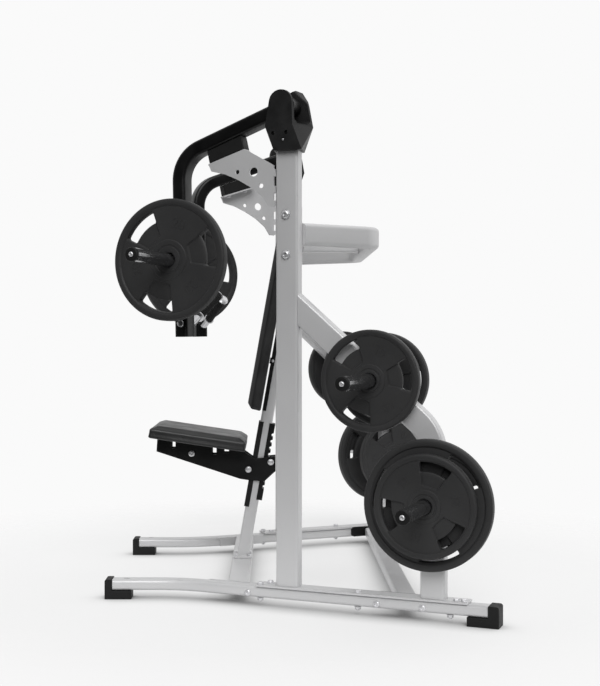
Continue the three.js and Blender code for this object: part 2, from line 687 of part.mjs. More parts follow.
function addSeatPost() {
  const tube = fromPost(prism(roundedBox(POST.depth, POST.width, POST_CORNER), 50, POST.top));
  const footX = POST.footX + BASE_TOP * Math.tan(POST.lean);
  const below = box(-2000, 2000, -500, 500, -500, RAIL_TOP + GAP);
  const { halfLength, halfWidth } = POST_FLANGE;
  const flange = box(footX - halfLength, footX + halfLength, -halfWidth, halfWidth, RAIL_TOP + GAP, BASE_TOP);
  addPiece(machine, 'seat_post', silverPaint, cut(join(tube, flange), below));
}

function postRoom() {
  const x = POST.depth / 2 + GAP;
  const y = POST.width / 2 + GAP;
  return box(-x, x, -y, y, 0, 2000);
}

function addGuideStrip() {
  const half = POST.width / 2 + SLEEVE;
  const strip = box(GUIDE.front, GUIDE.rear, -half, half, GUIDE.low, GUIDE.high);
  addPiece(machine, 'seat_guide_strip', rubber, fromPost(cut(strip, postRoom())));
}

function addRack() {
  const outline = [[RACK.front, RACK.low], [RACK.tip, RACK.low]];
  const first = RACK.low + RACK.firstNotch;
  for (let z = first; z < RACK.high - RACK.pitch; z += RACK.pitch) {
    outline.push(...arc(RACK.tip, z, RACK.notch, -Math.PI / 2, -3 * Math.PI / 2, 5));
  }
  outline.push([RACK.tip, RACK.high], [RACK.front, RACK.high]);
  const half = POST.width / 2 + SLEEVE;
  addPiece(machine, 'seat_rack', blackPaint, fromPost(cut(sheet(outline, -half, half), postRoom())));
}

function addBackRest() {
  const outline = [
    [BACK_PAD.rear, BACK_PAD.low],
    [BACK_PAD.rear, BACK_PAD.high],
    [BACK_PAD.front + BACK_PAD.chamfer, BACK_PAD.high],
    [BACK_PAD.front, BACK_PAD.high - BACK_PAD.chamfer],
    [BACK_PAD.front, BACK_PAD.low + BACK_PAD.chamfer],
    [BACK_PAD.front + BACK_PAD.chamfer, BACK_PAD.low],
  ];
  const pad = sheet(outline, -BACK_PAD.halfWidth, BACK_PAD.halfWidth);
  addPiece(machine, 'back_pad', vinyl, fromPost(pad));

  addPiece(machine, 'back_bracket', blackPaint, fromPost(backBracket()));
}

// Two cheeks beside the post, tied by straps across its front that hold the pad off it.
function backBracket() {
  const half = POST.width / 2 + GAP + BACK_BRACKET.cheek;
  const { low, high, rear, strap, straps } = BACK_BRACKET;
  const front = BACK_PAD.rear + GAP;
  const postFront = -POST.depth / 2 - GAP;
  const edges = [low - 1, ...straps.flatMap((z) => [z - strap / 2, z + strap / 2]), high + 1];
  const gaps = [];
  for (let i = 0; i < edges.length; i += 2) {
    gaps.push(box(front - 1, postFront, -half - 1, half + 1, edges[i], edges[i + 1]));
  }
  return cut(box(front, rear, -half, half, low, high), postRoom(), ...gaps);
}

// ---------------------------------------------------------------- seat

// Height of the pad's flat underside.
function seatUnderside(x) {
  return SEAT_PAD.bottom - (x - SEAT_PAD.front) * SEAT_PAD.tilt;
}

// One side plate: long under the pad, deep round the post.
function seatSideOutline() {
  const { front, rear } = SEAT_PLATE;
  return [
    [front, seatUnderside(front) - GAP],
    [front - 4, 509],
    [-209, 397],
    [-172, 391],
    [-107, 387],
    [-62, 428],
    [-62, 488],
    [-150, 480],
    [rear, 510],
    [rear, seatUnderside(rear) - GAP],
  ];
}

function seatCarriage() {
  const { inner, thick } = SEAT_PLATE;
  const outer = inner + thick;
  const sides = [
    sheet(seatSideOutline().reverse(), inner, outer),
    sheet(seatSideOutline().reverse(), -outer, -inner),
  ];
  const { front, rear } = SEAT_PAN;
  const panTop = (x) => seatUnderside(x) - GAP;
  const panLow = (x) => panTop(x) - SEAT_PAN.thick;
  const pan = sheet([
    [front, panTop(front)],
    [front, panLow(front)],
    [rear, panLow(rear)],
    [rear, panTop(rear)],
  ], -outer, outer);
  const spacer = bar(SEAT_SPACER.radius, -outer, outer, SEAT_SPACER.x, SEAT_SPACER.z, 14);
  const roller = bar(SEAT_ROLLER.radius, -outer, outer, SEAT_ROLLER.x, SEAT_ROLLER.z, 14);
  const windows = SEAT_WINDOWS.map(([x0, x1, depth]) => {
    const top = panLow(x1) - 1;
    return box(x0, x1, -outer - 1, outer + 1, top - depth, top);
  });
  const pinHole = bar(LOCK_PIN.radius + GAP, -outer - 5, outer + 5, LOCK_PIN.x, LOCK_PIN.z, 14);
  return cut(join(sides[0], sides[1], pan, spacer, roller), ...windows, pinHole);
}

function addSeat() {
  const pad = sheet(SEAT_PAD_OUTLINE, -SEAT_PAD.halfWidth, SEAT_PAD.halfWidth);
  addPiece(machine, 'seat_pad', vinyl, pad);
  addPiece(machine, 'seat_carriage', blackPaint, seatCarriage());
  const end = SEAT_PLATE.inner + SEAT_PLATE.thick + LOCK_PIN.proud;
  const pin = bar(LOCK_PIN.radius, -end, end, 0, 0, 14);
  addPiece(machine, 'seat_lock_pin', steel, pin, [LOCK_PIN.x, 0, LOCK_PIN.z]);
}

// ---------------------------------------------------------------- put together

for (const side of SIDES) {
  const group = sideGroup(side);
  addRail(side);
  addFeet(side, group);
  addBasePlate(side, group);
  addRearBracket(side, group);
  addUpright(side, group);
  addBrace(side, group);
  addStorageHorns(side, group);
  addHousing(side, group);
  addGusset(side, group);
  addArm(side, group);
  addArmHorn(side, group);
  addStopBlock(side, group);
  addHandle(side, group);
  addPlates(side, group);
}
addFrontCrossmember();
addRearCrossmember();
addRearTie();
addBackStrut();
addSeatPost();
addGuideStrip();
addRack();
addBackRest();
addSeat();

export default machine;
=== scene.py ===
# Looks for a plate-loaded chest press. Metres, +Z up, +X to the rear, the seated user faces -X.
#
# Each side of the machine stands in its own upright plane. A side's pieces are drawn in that plane's
# axes: x along the plane (0 at the arm pivot, + to the rear), y across it (+ outward) and z up.

import json
import math

import bmesh
import bpy
import numpy as np
from mathutils import Matrix, Vector


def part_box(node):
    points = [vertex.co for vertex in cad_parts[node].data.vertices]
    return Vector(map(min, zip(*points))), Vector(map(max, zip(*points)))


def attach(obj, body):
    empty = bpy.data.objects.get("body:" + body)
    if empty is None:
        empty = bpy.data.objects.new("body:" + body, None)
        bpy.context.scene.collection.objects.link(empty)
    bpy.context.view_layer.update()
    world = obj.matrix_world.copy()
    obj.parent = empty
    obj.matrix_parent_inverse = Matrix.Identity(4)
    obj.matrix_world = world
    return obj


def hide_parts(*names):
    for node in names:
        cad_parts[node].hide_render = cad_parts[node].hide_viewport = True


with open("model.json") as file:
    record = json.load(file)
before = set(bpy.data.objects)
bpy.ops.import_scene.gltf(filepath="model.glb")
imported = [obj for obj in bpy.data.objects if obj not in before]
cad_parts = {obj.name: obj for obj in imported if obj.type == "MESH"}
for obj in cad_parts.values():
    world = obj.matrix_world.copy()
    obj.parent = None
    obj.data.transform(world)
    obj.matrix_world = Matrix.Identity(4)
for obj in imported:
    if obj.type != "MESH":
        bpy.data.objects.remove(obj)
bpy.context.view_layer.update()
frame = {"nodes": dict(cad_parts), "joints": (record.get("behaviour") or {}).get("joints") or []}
NODES = frame["nodes"]
TAU = 2 * math.pi

# ------------------------------------------------------------ sizes, in metres

CAMERA = {"place": (-0.074, -4.962, 0.982), "lens": 62.97, "shift": (0.040, -0.0101)}

RAIL = {"width": 0.060, "height": 0.040, "corner": 0.012, "bottom": 0.032, "bend": 0.5}
UPRIGHT = {"depth": 0.086, "width": 0.050, "corner": 0.010}
BRACE = {"depth": 0.088, "slope": math.radians(41.3), "join": 1.077, "post": 0.538, "bend": 0.160}
TIE = {"height": 0.082, "width": 0.050, "corner": 0.016, "bend": 0.075, "z": 1.352, "corner_y": 0.4315}
TIE_LEAD = math.radians(30)
TIE_FLANGE = {"half": 0.038, "low": 1.240, "high": 1.450, "thick": 0.008}
GAP = 0.0003
ARM = {"depth": 0.053, "width": 0.072, "corner": 0.012, "slope": 0.37, "bend": 0.125, "hub": 0.033}
ARM_ELBOW = -0.435
ARM_END = (-0.421, 0.981)
HORN_R = 0.025
HORN_COLLAR = (0.038, 0.010)
HORN_TILT = math.radians(1)
ARM_STOP = 0.075
PLATE_TURN = {
    "arm": 13, "upper_outer": 9.5, "upper_inner": 52, "lower_big": 43.5, "lower_outer": 74, "lower_inner": 61,
}
BIG_PLATE_R = 0.225
HANDLE = {"r": 0.014, "z": 1.029, "elbow": -0.058, "tip": (-0.394, -0.235, 1.142), "bend": 0.030}
GRIP = {"r": 0.018, "length": 0.150, "from_tip": 0.006}
POST_LEAN = math.radians(10)
POST_FOOT_X = -0.2103
PAD_VOXEL = 0.005

# the room's brightness as a product of ramps: (axis, from, to, low, high)
ROOM = [("Y", -0.65, 0.15, 0.05, 1.0), ("X", -1.0, 1.0, 0.75, 1.25), ("Z", -0.2, 1.0, 0.9, 1.2)]
# strength of the floor's own glow, which carries painted contact shadow
FLOOR_GLOW = 0.55


# ------------------------------------------------------------ the two side planes

class Side:
    def __init__(self, name, sign):
        joint = next(j for j in frame["joints"] if j["name"] == f"{name}_arm_pivot")
        self.name = name
        self.sign = sign
        self.out = Vector(joint["axis"]) * sign
        self.along = Vector((sign * self.out.y, -sign * self.out.x, 0))
        self.pivot_z = joint["pos_m"][2]
        origin = Vector((joint["pos_m"][0], joint["pos_m"][1], 0))
        turn = Matrix((self.along, self.out, (0, 0, 1))).transposed()
        self.matrix = Matrix.Translation(origin) @ turn.to_4x4()
        self.inverse = self.matrix.inverted()

    def centre(self, node):
        """Middle of a CAD node's box, in this side's axes."""
        low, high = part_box(node)
        return self.inverse @ ((low + high) / 2)

    def span(self, node):
        """Lowest and highest corner of a CAD node in this side's axes."""
        points = np.array([self.inverse @ v.co for v in NODES[node].data.vertices])
        return Vector(points.min(0)), Vector(points.max(0))


SIDES = [Side("left", -1), Side("right", 1)]
MIDDLE = Matrix.Identity(4)
POST = Matrix.Translation((POST_FOOT_X, 0, 0)) @ Matrix.Rotation(POST_LEAN, 4, "Y")


# ------------------------------------------------------------ materials

class Finish:
    """A Principled material with its texture nodes added step by step."""

    def __init__(self, name, colour, roughness, metallic=0.0, specular=0.5):
        self.material = bpy.data.materials.new(name)
        self.material.use_nodes = True
        self.tree = self.material.node_tree
        self.shader = self.tree.nodes["Principled BSDF"]
        self.colour = (*colour, 1)
        self.shader.inputs["Base Color"].default_value = self.colour
        self.shader.inputs["Roughness"].default_value = roughness
        self.shader.inputs["Metallic"].default_value = metallic
        self.shader.inputs["Specular IOR Level"].default_value = specular
        self.coordinates = self.tree.nodes.new("ShaderNodeTexCoord").outputs["Object"]
        self.roughness = roughness

    def noise(self, scale, detail=3.0, stretch=None):
        node = self.tree.nodes.new("ShaderNodeTexNoise")
        node.inputs["Scale"].default_value = scale
        node.inputs["Detail"].default_value = detail
        self.tree.links.new(self.stretched(stretch), node.inputs["Vector"])
        return node.outputs[0]

    def cells(self, scale, feature="DISTANCE_TO_EDGE"):
        node = self.tree.nodes.new("ShaderNodeTexVoronoi")
        node.feature = feature
        node.inputs["Scale"].default_value = scale
        self.tree.links.new(self.coordinates, node.inputs["Vector"])
        return node.outputs["Distance"]

    def stretched(self, stretch):
        if stretch is None:
            return self.coordinates
        node = self.tree.nodes.new("ShaderNodeMapping")
        node.inputs["Scale"].default_value = stretch
        self.tree.links.new(self.coordinates, node.inputs["Vector"])
        return node.outputs["Vector"]

    def ranged(self, value, low, high, to_low, to_high):
        node = self.tree.nodes.new("ShaderNodeMapRange")
        node.inputs["From Min"].default_value = low
        node.inputs["From Max"].default_value = high
        node.inputs["To Min"].default_value = to_low
        node.inputs["To Max"].default_value = to_high
        self.tree.links.new(value, node.inputs["Value"])
        return node.outputs["Result"]

    def mottle(self, scale, other, low=0.35, high=0.65, detail=4.0):
        """Blends the colour so far with another one through a noise."""
        mix = self.tree.nodes.new("ShaderNodeMix")
        mix.data_type = "RGBA"
        self.tree.links.new(self.ranged(self.noise(scale, detail), low, high, 0, 1), mix.inputs["Factor"])
        base = self.shader.inputs["Base Color"]
        if base.links:
            self.tree.links.new(base.links[0].from_socket, mix.inputs[6])
        else:
            mix.inputs[6].default_value = self.colour
        mix.inputs[7].default_value = (*other, 1)
        self.tree.links.new(mix.outputs[2], base)
        return self

    def wear(self, scale, spread):
        """Varies the roughness by up to the spread either way."""
        low, high = self.roughness - spread, self.roughness + spread
        value = self.ranged(self.noise(scale, 5.0), 0.3, 0.7, low, high)
        self.tree.links.new(value, self.shader.inputs["Roughness"])
        return self

    def bump(self, height, strength, distance):
        """Adds a bump on top of the ones already there."""
        node = self.tree.nodes.new("ShaderNodeBump")
        node.inputs["Strength"].default_value = strength
        node.inputs["Distance"].default_value = distance
        self.tree.links.new(height, node.inputs["Height"])
        normal = self.shader.inputs["Normal"]
        if normal.links:
            self.tree.links.new(normal.links[0].from_socket, node.inputs["Normal"])
        self.tree.links.new(node.outputs["Normal"], normal)
        return self

    def coat(self, weight, roughness):
        self.shader.inputs["Coat Weight"].default_value = weight
        self.shader.inputs["Coat Roughness"].default_value = roughness
        return self


def silver_paint():
    made = Finish("silver_paint", (0.60, 0.60, 0.605), 0.40, metallic=0.2, specular=0.5)
    made.mottle(4.0, (0.58, 0.58, 0.587))
    made.mottle(1400.0, (0.68, 0.68, 0.685), 0.62, 0.74, 1.0)
    made.wear(9.0, 0.05)
    made.bump(made.noise(520.0, 2.0), 0.10, 0.0004)
    made.bump(made.noise(35.0, 2.0), 0.04, 0.0015)
    return made.coat(0.18, 0.22).material


def black_paint():
    made = Finish("black_paint", (0.0022, 0.0022, 0.0023), 0.36, specular=0.30)
    made.mottle(6.0, (0.0034, 0.0034, 0.0036))
    made.wear(14.0, 0.07)
    made.bump(made.noise(650.0, 2.0), 0.16, 0.0004)
    return made.material


def cast_paint():
    made = Finish("cast_black_paint", (0.0075, 0.0075, 0.0078), 0.42, specular=0.42)
    made.mottle(10.0, (0.010, 0.010, 0.0104))
    made.wear(20.0, 0.07)
    made.bump(made.noise(260.0, 3.0), 0.22, 0.0008)
    return made.material


def moulded_rubber():
    made = Finish("moulded_rubber", (0.0042, 0.0042, 0.0043), 0.60, specular=0.28)
    made.mottle(12.0, (0.0065, 0.0065, 0.0065))
    made.wear(30.0, 0.08)
    made.bump(made.noise(900.0, 3.0), 0.30, 0.0005)
    return made.material


def plate_rubber():
    made = Finish("plate_rubber", (0.024, 0.024, 0.0245), 0.55, specular=0.32)
    made.mottle(5.0, (0.030, 0.030, 0.0305))
    made.mottle(900.0, (0.042, 0.042, 0.042), 0.66, 0.74, 1.0)
    made.wear(8.0, 0.07)
    made.bump(made.noise(700.0, 3.0), 0.28, 0.0005)
    made.bump(made.cells(240.0), 0.06, 0.0006)
    return made.material


def vinyl():
    made = Finish("vinyl", (0.0095, 0.0095, 0.0098), 0.40, specular=0.5)
    made.mottle(7.0, (0.014, 0.014, 0.0144))
    made.wear(16.0, 0.07)
    made.bump(made.cells(420.0), 0.35, 0.0006)
    made.bump(made.noise(900.0, 3.0), 0.20, 0.0003)
    made.bump(made.noise(14.0, 2.0), 0.10, 0.004)
    return made.material


def chrome():
    made = Finish("dark_chrome", (0.58, 0.58, 0.59), 0.17, metallic=1.0)
    made.mottle(30.0, (0.50, 0.50, 0.51))
    made.wear(60.0, 0.06)
    made.bump(made.noise(60.0, 4.0, (1, 1, 1)), 0.05, 0.0004)
    return made.material


def zinc():
    made = Finish("zinc", (0.78, 0.78, 0.79), 0.38, metallic=0.75)
    made.mottle(180.0, (0.70, 0.70, 0.72))
    made.wear(200.0, 0.06)
    made.bump(made.noise(900.0, 2.0), 0.12, 0.0002)
    return made.material


MATERIALS = {
    "silver_paint": silver_paint(),
    "black_paint": black_paint(),
    "rubber": moulded_rubber(),
    "plate_rubber": plate_rubber(),
    "vinyl": vinyl(),
    "chrome": chrome(),
    "steel": zinc(),
}
CAST = cast_paint()


# ------------------------------------------------------------ mesh making

def arc(cx, cy, radius, start, end, steps):
    angles = [start + (end - start) * i / steps for i in range(steps + 1)]
    return [(cx + radius * math.cos(t), cy + radius * math.sin(t)) for t in angles]


def rounded(width, height, radius, steps=6):
    """Points round a rectangle with rounded corners."""
    x = width / 2 - radius
    y = height / 2 - radius
    corners = [(x, y), (-x, y), (-x, -y), (x, -y)]
    points = []
    for i, (cx, cy) in enumerate(corners):
        points += arc(cx, cy, radius, i * TAU / 4, (i + 1) * TAU / 4, steps)
    return points


def circle(radius, steps=32):
    return arc(0, 0, radius, 0, TAU, steps)[:-1]


def loft(bm, rings, closed=False):
    """Skins a list of rings of points, all with the same count, and caps the ends unless it is closed."""
    made = [[bm.verts.new(p) for p in ring] for ring in rings]
    count = len(made[0])
    spans = list(zip(made, made[1:]))
    if closed:
        spans.append((made[-1], made[0]))
    for first, second in spans:
        for i in range(count):
            j = (i + 1) % count
            bm.faces.new((first[i], first[j], second[j], second[i]))
    if not closed:
        bm.faces.new(list(reversed(made[0])))
        bm.faces.new(made[-1])
    return made


def bent_path(corners, bend, steps=14):
    """Stations (place, heading) along straight runs with rounded corners."""
    points = [Vector(c) for c in corners]
    headings = [(b - a).normalized() for a, b in zip(points, points[1:])]
    stations = [(points[0], headings[0])]
    for corner, before, after in zip(points[1:-1], headings, headings[1:]):
        turn = before.angle(after)
        side = (after - before * before.dot(after)).normalized()
        start = corner - before * bend * math.tan(turn / 2)
        for i in range(steps + 1):
            t = turn * i / steps
            place = start + before * bend * math.sin(t) + side * bend * (1 - math.cos(t))
            stations.append((place, before * math.cos(t) + side * math.sin(t)))
    stations.append((points[-1], headings[-1]))
    return stations


def sweep(bm, section, stations, across, cuts=(None, None)):
    """Sweeps a section along stations. Its first axis lies along across. A cut is the plane (point, normal)
    that an end is trimmed to."""
    rings = []
    for place, heading in stations:
        first = (Vector(across) - heading * heading.dot(Vector(across))).normalized()
        second = heading.cross(first)
        rings.append([place + first * x + second * y for x, y in section])
    for index, cut in zip((0, -1), cuts):
        if cut:
            point, normal = Vector(cut[0]), Vector(cut[1])
            heading = stations[index][1]
            share = heading.dot(normal)
            rings[index] = [p + heading * ((point - p).dot(normal) / share) for p in rings[index]]
    loft(bm, rings)


def lathe(bm, profile, place, axis, steps=32):
    """Turns a profile of (radius, height) points about an axis through place. It starts and ends on the axis,
    or closes on itself."""
    axis = Vector(axis).normalized()
    first = axis.orthogonal().normalized()
    second = axis.cross(first)
    place = Vector(place)
    closed = profile[0] == profile[-1]
    points = profile[:-1] if closed else profile
    rings = []
    for radius, height in points:
        if radius < 1e-7:
            rings.append([bm.verts.new(place + axis * height)])
            continue
        middle = place + axis * height
        spokes = [first * c + second * s for c, s in circle(1, steps)]
        rings.append([bm.verts.new(middle + spoke * radius) for spoke in spokes])
    pairs = list(zip(rings, rings[1:]))
    if closed:
        pairs.append((rings[-1], rings[0]))
    for low, high in pairs:
        for i in range(steps):
            j = (i + 1) % steps
            corners = [low[i % len(low)], low[j % len(low)], high[j % len(high)], high[i % len(high)]]
            unique = list(dict.fromkeys(corners))
            if len(unique) > 2:
                bm.faces.new(unique)


def block(bm, low, high, bevel=0.001):
    """A box with softened edges."""
    box = bmesh.new()
    bmesh.ops.create_cube(box, size=1)
    low, high = Vector(low), Vector(high)
    for v in box.verts:
        v.co = Vector(l + (h - l) * (c + 0.5) for l, h, c in zip(low, high, v.co))
    bmesh.ops.bevel(box, geom=box.edges[:], offset=bevel, segments=3, profile=0.5, affect="EDGES")
    merge(bm, box)


def merge(bm, other, matrix=None):
    """Adds another bmesh to this one."""
    mesh = bpy.data.meshes.new("part")
    other.to_mesh(mesh)
    other.free()
    if matrix:
        mesh.transform(matrix)
    bm.from_mesh(mesh)
    bpy.data.meshes.remove(mesh)


def shade(mesh, angle):
    """Smooth shading, with sharp edges where faces meet at more than the angle."""
    bm = bmesh.new()
    bm.from_mesh(mesh)
    for face in bm.faces:
        face.smooth = True
    for edge in bm.edges:
        edge.smooth = len(edge.link_faces) == 2 and edge.calc_face_angle(math.pi) < math.radians(angle)
    bm.to_mesh(mesh)
    bm.free()


def add(name, bm, slot, body, matrix=MIDDLE, replaces=(), material=None, angle=32):
    """Makes a piece from a bmesh drawn in the matrix's axes, and hangs it on its CAD body."""
    bmesh.ops.transform(bm, matrix=matrix, verts=bm.verts)
    bmesh.ops.recalc_face_normals(bm, faces=bm.faces)
    mesh = bpy.data.meshes.new(name)
    bm.to_mesh(mesh)
    bm.free()
    shade(mesh, angle)
    piece = bpy.data.objects.new(name, mesh)
    bpy.context.scene.collection.objects.link(piece)
    mesh.materials.append(material or MATERIALS[slot])
    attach(piece, body)
    if replaces:
        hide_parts(*replaces)
    return piece


# ------------------------------------------------------------ CAD nodes that stay

def dress(node, material, bevel, segments=2):
    """Gives a CAD node its material, softened edges and clean shading, with its mesh left as it is."""
    piece = NODES[node]
    piece.data.materials.clear()
    piece.data.materials.append(material)
    for polygon in piece.data.polygons:
        polygon.use_smooth = True
    weld = piece.modifiers.new("weld", "WELD")
    weld.merge_threshold = 0.00002
    flat = piece.modifiers.new("flat", "DECIMATE")
    flat.decimate_type = "DISSOLVE"
    flat.angle_limit = math.radians(0.6)
    soft = piece.modifiers.new("soft", "BEVEL")
    soft.width = bevel
    soft.segments = segments
    soft.limit_method = "ANGLE"
    soft.angle_limit = math.radians(28)
    soft.use_clamp_overlap = True
    normals = piece.modifiers.new("normals", "WEIGHTED_NORMAL")
    normals.keep_sharp = True


def dress_frame():
    silver = MATERIALS["silver_paint"]
    black = MATERIALS["black_paint"]
    rubber = MATERIALS["rubber"]
    for side in SIDES:
        dress(f"{side.name}_base_plate", silver, 0.0012)
        dress(f"{side.name}_rear_crossmember_bracket", black, 0.0015)
        dress(f"{side.name}_pivot_housing", CAST, 0.0035, 3)
        dress(f"{side.name}_pivot_axle", MATERIALS["steel"], 0.001)
        dress(f"{side.name}_pivot_bearing", MATERIALS["steel"], 0.0006)
        dress(f"{side.name}_stop_gusset", silver, 0.0010)
        dress(f"{side.name}_arm_stop_block", rubber, 0.0030, 3)
        dress(f"{side.name}_front_foot", rubber, 0.0045, 4)
        dress(f"{side.name}_rear_foot", rubber, 0.0045, 4)
    for node in ("front_crossmember", "rear_crossmember", "back_strut", "seat_post"):
        dress(node, silver, 0.0010)
    dress("seat_carriage", black, 0.0012)
    dress("seat_rack", black, 0.0010)
    dress("back_bracket", black, 0.0010)
    dress("seat_guide_strip", rubber, 0.0010)
    dress("seat_lock_pin", MATERIALS["steel"], 0.0010)


# ------------------------------------------------------------ tubes of the frame

def add_rail(side):
    low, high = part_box(f"{side.name}_base_rail")
    y = side.sign * min(abs(low.y), abs(high.y)) + side.sign * RAIL["width"] / 2
    z = RAIL["bottom"] + RAIL["height"] / 2
    origin = side.matrix.translation
    slope = side.along.y / side.along.x
    bend_x = origin.x + (y - origin.y) / slope
    rear = side.span(f"{side.name}_base_rail")[1].x
    corners = [(low.x, y, z), (bend_x, y, z), side.matrix @ Vector((rear, 0, z))]
    bm = bmesh.new()
    section = rounded(RAIL["width"], RAIL["height"], RAIL["corner"])
    sweep(bm, section, bent_path(corners, RAIL["bend"], 20), (0, 1, 0))
    piece = add(f"{side.name}_rail_tube", bm, "silver_paint", "frame", replaces=[f"{side.name}_base_rail"])
    cut_floor_slot(piece, Vector((low.x + 0.0517, y, z)))


def cut_floor_slot(piece, centre):
    """Cuts the slot that takes a floor bolt, straight down through the rail."""
    half, radius = 0.006, 0.006
    outline = arc(half, 0, radius, -TAU / 4, TAU / 4, 10) + arc(-half, 0, radius, TAU / 4, 3 * TAU / 4, 10)
    bm = bmesh.new()
    loft(bm, [[centre + Vector((x, y, z)) for x, y in outline] for z in (-0.05, 0.05)])
    bmesh.ops.recalc_face_normals(bm, faces=bm.faces)
    mesh = bpy.data.meshes.new("slot_tool")
    bm.to_mesh(mesh)
    bm.free()
    tool = bpy.data.objects.new("slot_tool", mesh)
    bpy.context.scene.collection.objects.link(tool)
    modifier = piece.modifiers.new("slot", "BOOLEAN")
    modifier.object = tool
    modifier.operation = "DIFFERENCE"
    modifier.solver = "EXACT"
    bpy.context.view_layer.update()
    evaluated = piece.evaluated_get(bpy.context.evaluated_depsgraph_get())
    result = bpy.data.meshes.new_from_object(evaluated)
    piece.modifiers.clear()
    piece.data = result
    bpy.data.objects.remove(tool)
    shade(result, 32)


def add_upright(side):
    low, high = side.span(f"{side.name}_upright")
    bm = bmesh.new()
    section = rounded(UPRIGHT["width"], UPRIGHT["depth"], UPRIGHT["corner"])
    up = Vector((0, 0, 1))
    sweep(bm, section, [(up * low.z, up), (up * high.z, up)], (0, 1, 0))
    add(f"{side.name}_upright_tube", bm, "silver_paint", "frame", side.matrix, [f"{side.name}_upright"])


def brace_height(x):
    return BRACE["join"] - (x - UPRIGHT["depth"] / 2) * math.tan(BRACE["slope"])


def add_brace(side):
    low, _ = side.span(f"{side.name}_storage_brace")
    post = BRACE["post"]
    corners = [(0, 0, brace_height(0)), (post, 0, brace_height(post)), (post, 0, low.z)]
    stations = bent_path(corners, BRACE["bend"], 18)
    bm = bmesh.new()
    join = ((UPRIGHT["depth"] / 2 + 0.0003, 0, 0), (1, 0, 0))
    section = rounded(UPRIGHT["width"], BRACE["depth"], UPRIGHT["corner"])
    sweep(bm, section, stations, (0, 1, 0), (join, None))
    add(f"{side.name}_brace_tube", bm, "silver_paint", "frame", side.matrix, [f"{side.name}_storage_brace"])


def add_tie():
    _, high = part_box("rear_tie")
    rear = high.x - TIE["width"] / 2
    z, corner_y = TIE["z"], TIE["corner_y"]
    face = UPRIGHT["width"] / 2 + GAP
    back = face + TIE_FLANGE["thick"]
    ends = [(side.matrix @ Vector((0, -back, 0)), side.out) for side in SIDES]
    reach = 0.32
    lead = reach * math.tan(TIE_LEAD)
    corners = [(rear - reach, -corner_y - lead, z), (rear, -corner_y, z), (rear, corner_y, z),
               (rear - reach, corner_y + lead, z)]
    bm = bmesh.new()
    section = rounded(TIE["height"], TIE["width"], TIE["corner"])
    sweep(bm, section, bent_path(corners, TIE["bend"], 14), (0, 0, 1), ends)
    half = TIE_FLANGE["half"]
    for side in SIDES:
        plate = bmesh.new()
        block(plate, (-half, -back, TIE_FLANGE["low"]), (half, -face, TIE_FLANGE["high"]), 0.0015)
        merge(bm, plate, side.matrix)
    add("rear_tie_loop", bm, "silver_paint", "frame", replaces=["rear_tie"])


# ------------------------------------------------------------ arms and handles

def arm_height(side, x):
    return side.pivot_z + ARM["slope"] * x


def add_arm(side):
    end_x, end_z = ARM_END
    corners = [(0, 0, arm_height(side, 0)), (ARM_ELBOW, 0, arm_height(side, ARM_ELBOW)), (end_x, 0, end_z)]
    bm = bmesh.new()
    section = rounded(ARM["width"] - 0.0006, ARM["depth"], ARM["corner"])
    sweep(bm, section, bent_path(corners, ARM["bend"], 18), (0, 1, 0))
    half = ARM["width"] / 2 - 0.0003
    hub = [(0, -half), (ARM["hub"] - 0.002, -half), (ARM["hub"], -half + 0.002),
           (ARM["hub"], half - 0.002), (ARM["hub"] - 0.002, half), (0, half)]
    lathe(bm, hub, (0, 0, side.pivot_z), (0, 1, 0), 40)
    body = f"{side.name}_arm"
    add(f"{side.name}_arm_tube", bm, "black_paint", body, side.matrix, [f"{side.name}_press_arm"])


def add_arm_plug(side):
    """The plastic plug in the arm's lower end."""
    end_x, end_z = ARM_END
    heading = (Vector((end_x, 0, end_z)) - Vector((ARM_ELBOW, 0, arm_height(side, ARM_ELBOW)))).normalized()
    end = Vector((end_x, 0, end_z))
    bm = bmesh.new()
    rings = []
    steps = [(-0.002, 0.0), (0.0, 0.0002), (0.0022, 0.0006), (0.0030, 0.0030), (0.0030, 0.010)]
    for depth, inset in steps:
        section = rounded(ARM["width"] - 2 * inset, ARM["depth"] - 2 * inset, ARM["corner"] - inset)
        first = Vector((0, 1, 0))
        second = heading.cross(first)
        rings.append([end + heading * depth * 0.6 + first * x + second * y for x, y in section])
    loft(bm, rings)
    add(f"{side.name}_arm_plug", bm, "rubber", f"{side.name}_arm", side.matrix)


def add_handle(side):
    end_x, _ = ARM_END
    tip = Vector(HANDLE["tip"])
    elbow = Vector((end_x, HANDLE["elbow"], HANDLE["z"]))
    start = Vector((end_x, ARM["width"] / 2 + 0.004, HANDLE["z"]))
    body = f"{side.name}_arm"
    bm = bmesh.new()
    sweep(bm, circle(HANDLE["r"], 28), bent_path([start, elbow, tip], HANDLE["bend"], 12), (0.1, 0, 1))
    r = HANDLE["r"]
    cap = [(0, 0.0055), (0.007, 0.0050), (0.012, 0.0030), (r, 0.0), (r, -0.003), (0, -0.003)]
    lathe(bm, cap, start, (0, 1, 0), 28)
    add(f"{side.name}_handle_tube", bm, "chrome", body, side.matrix, [f"{side.name}_handle_bar"])
    add_grip(side, tip, (tip - elbow).normalized())


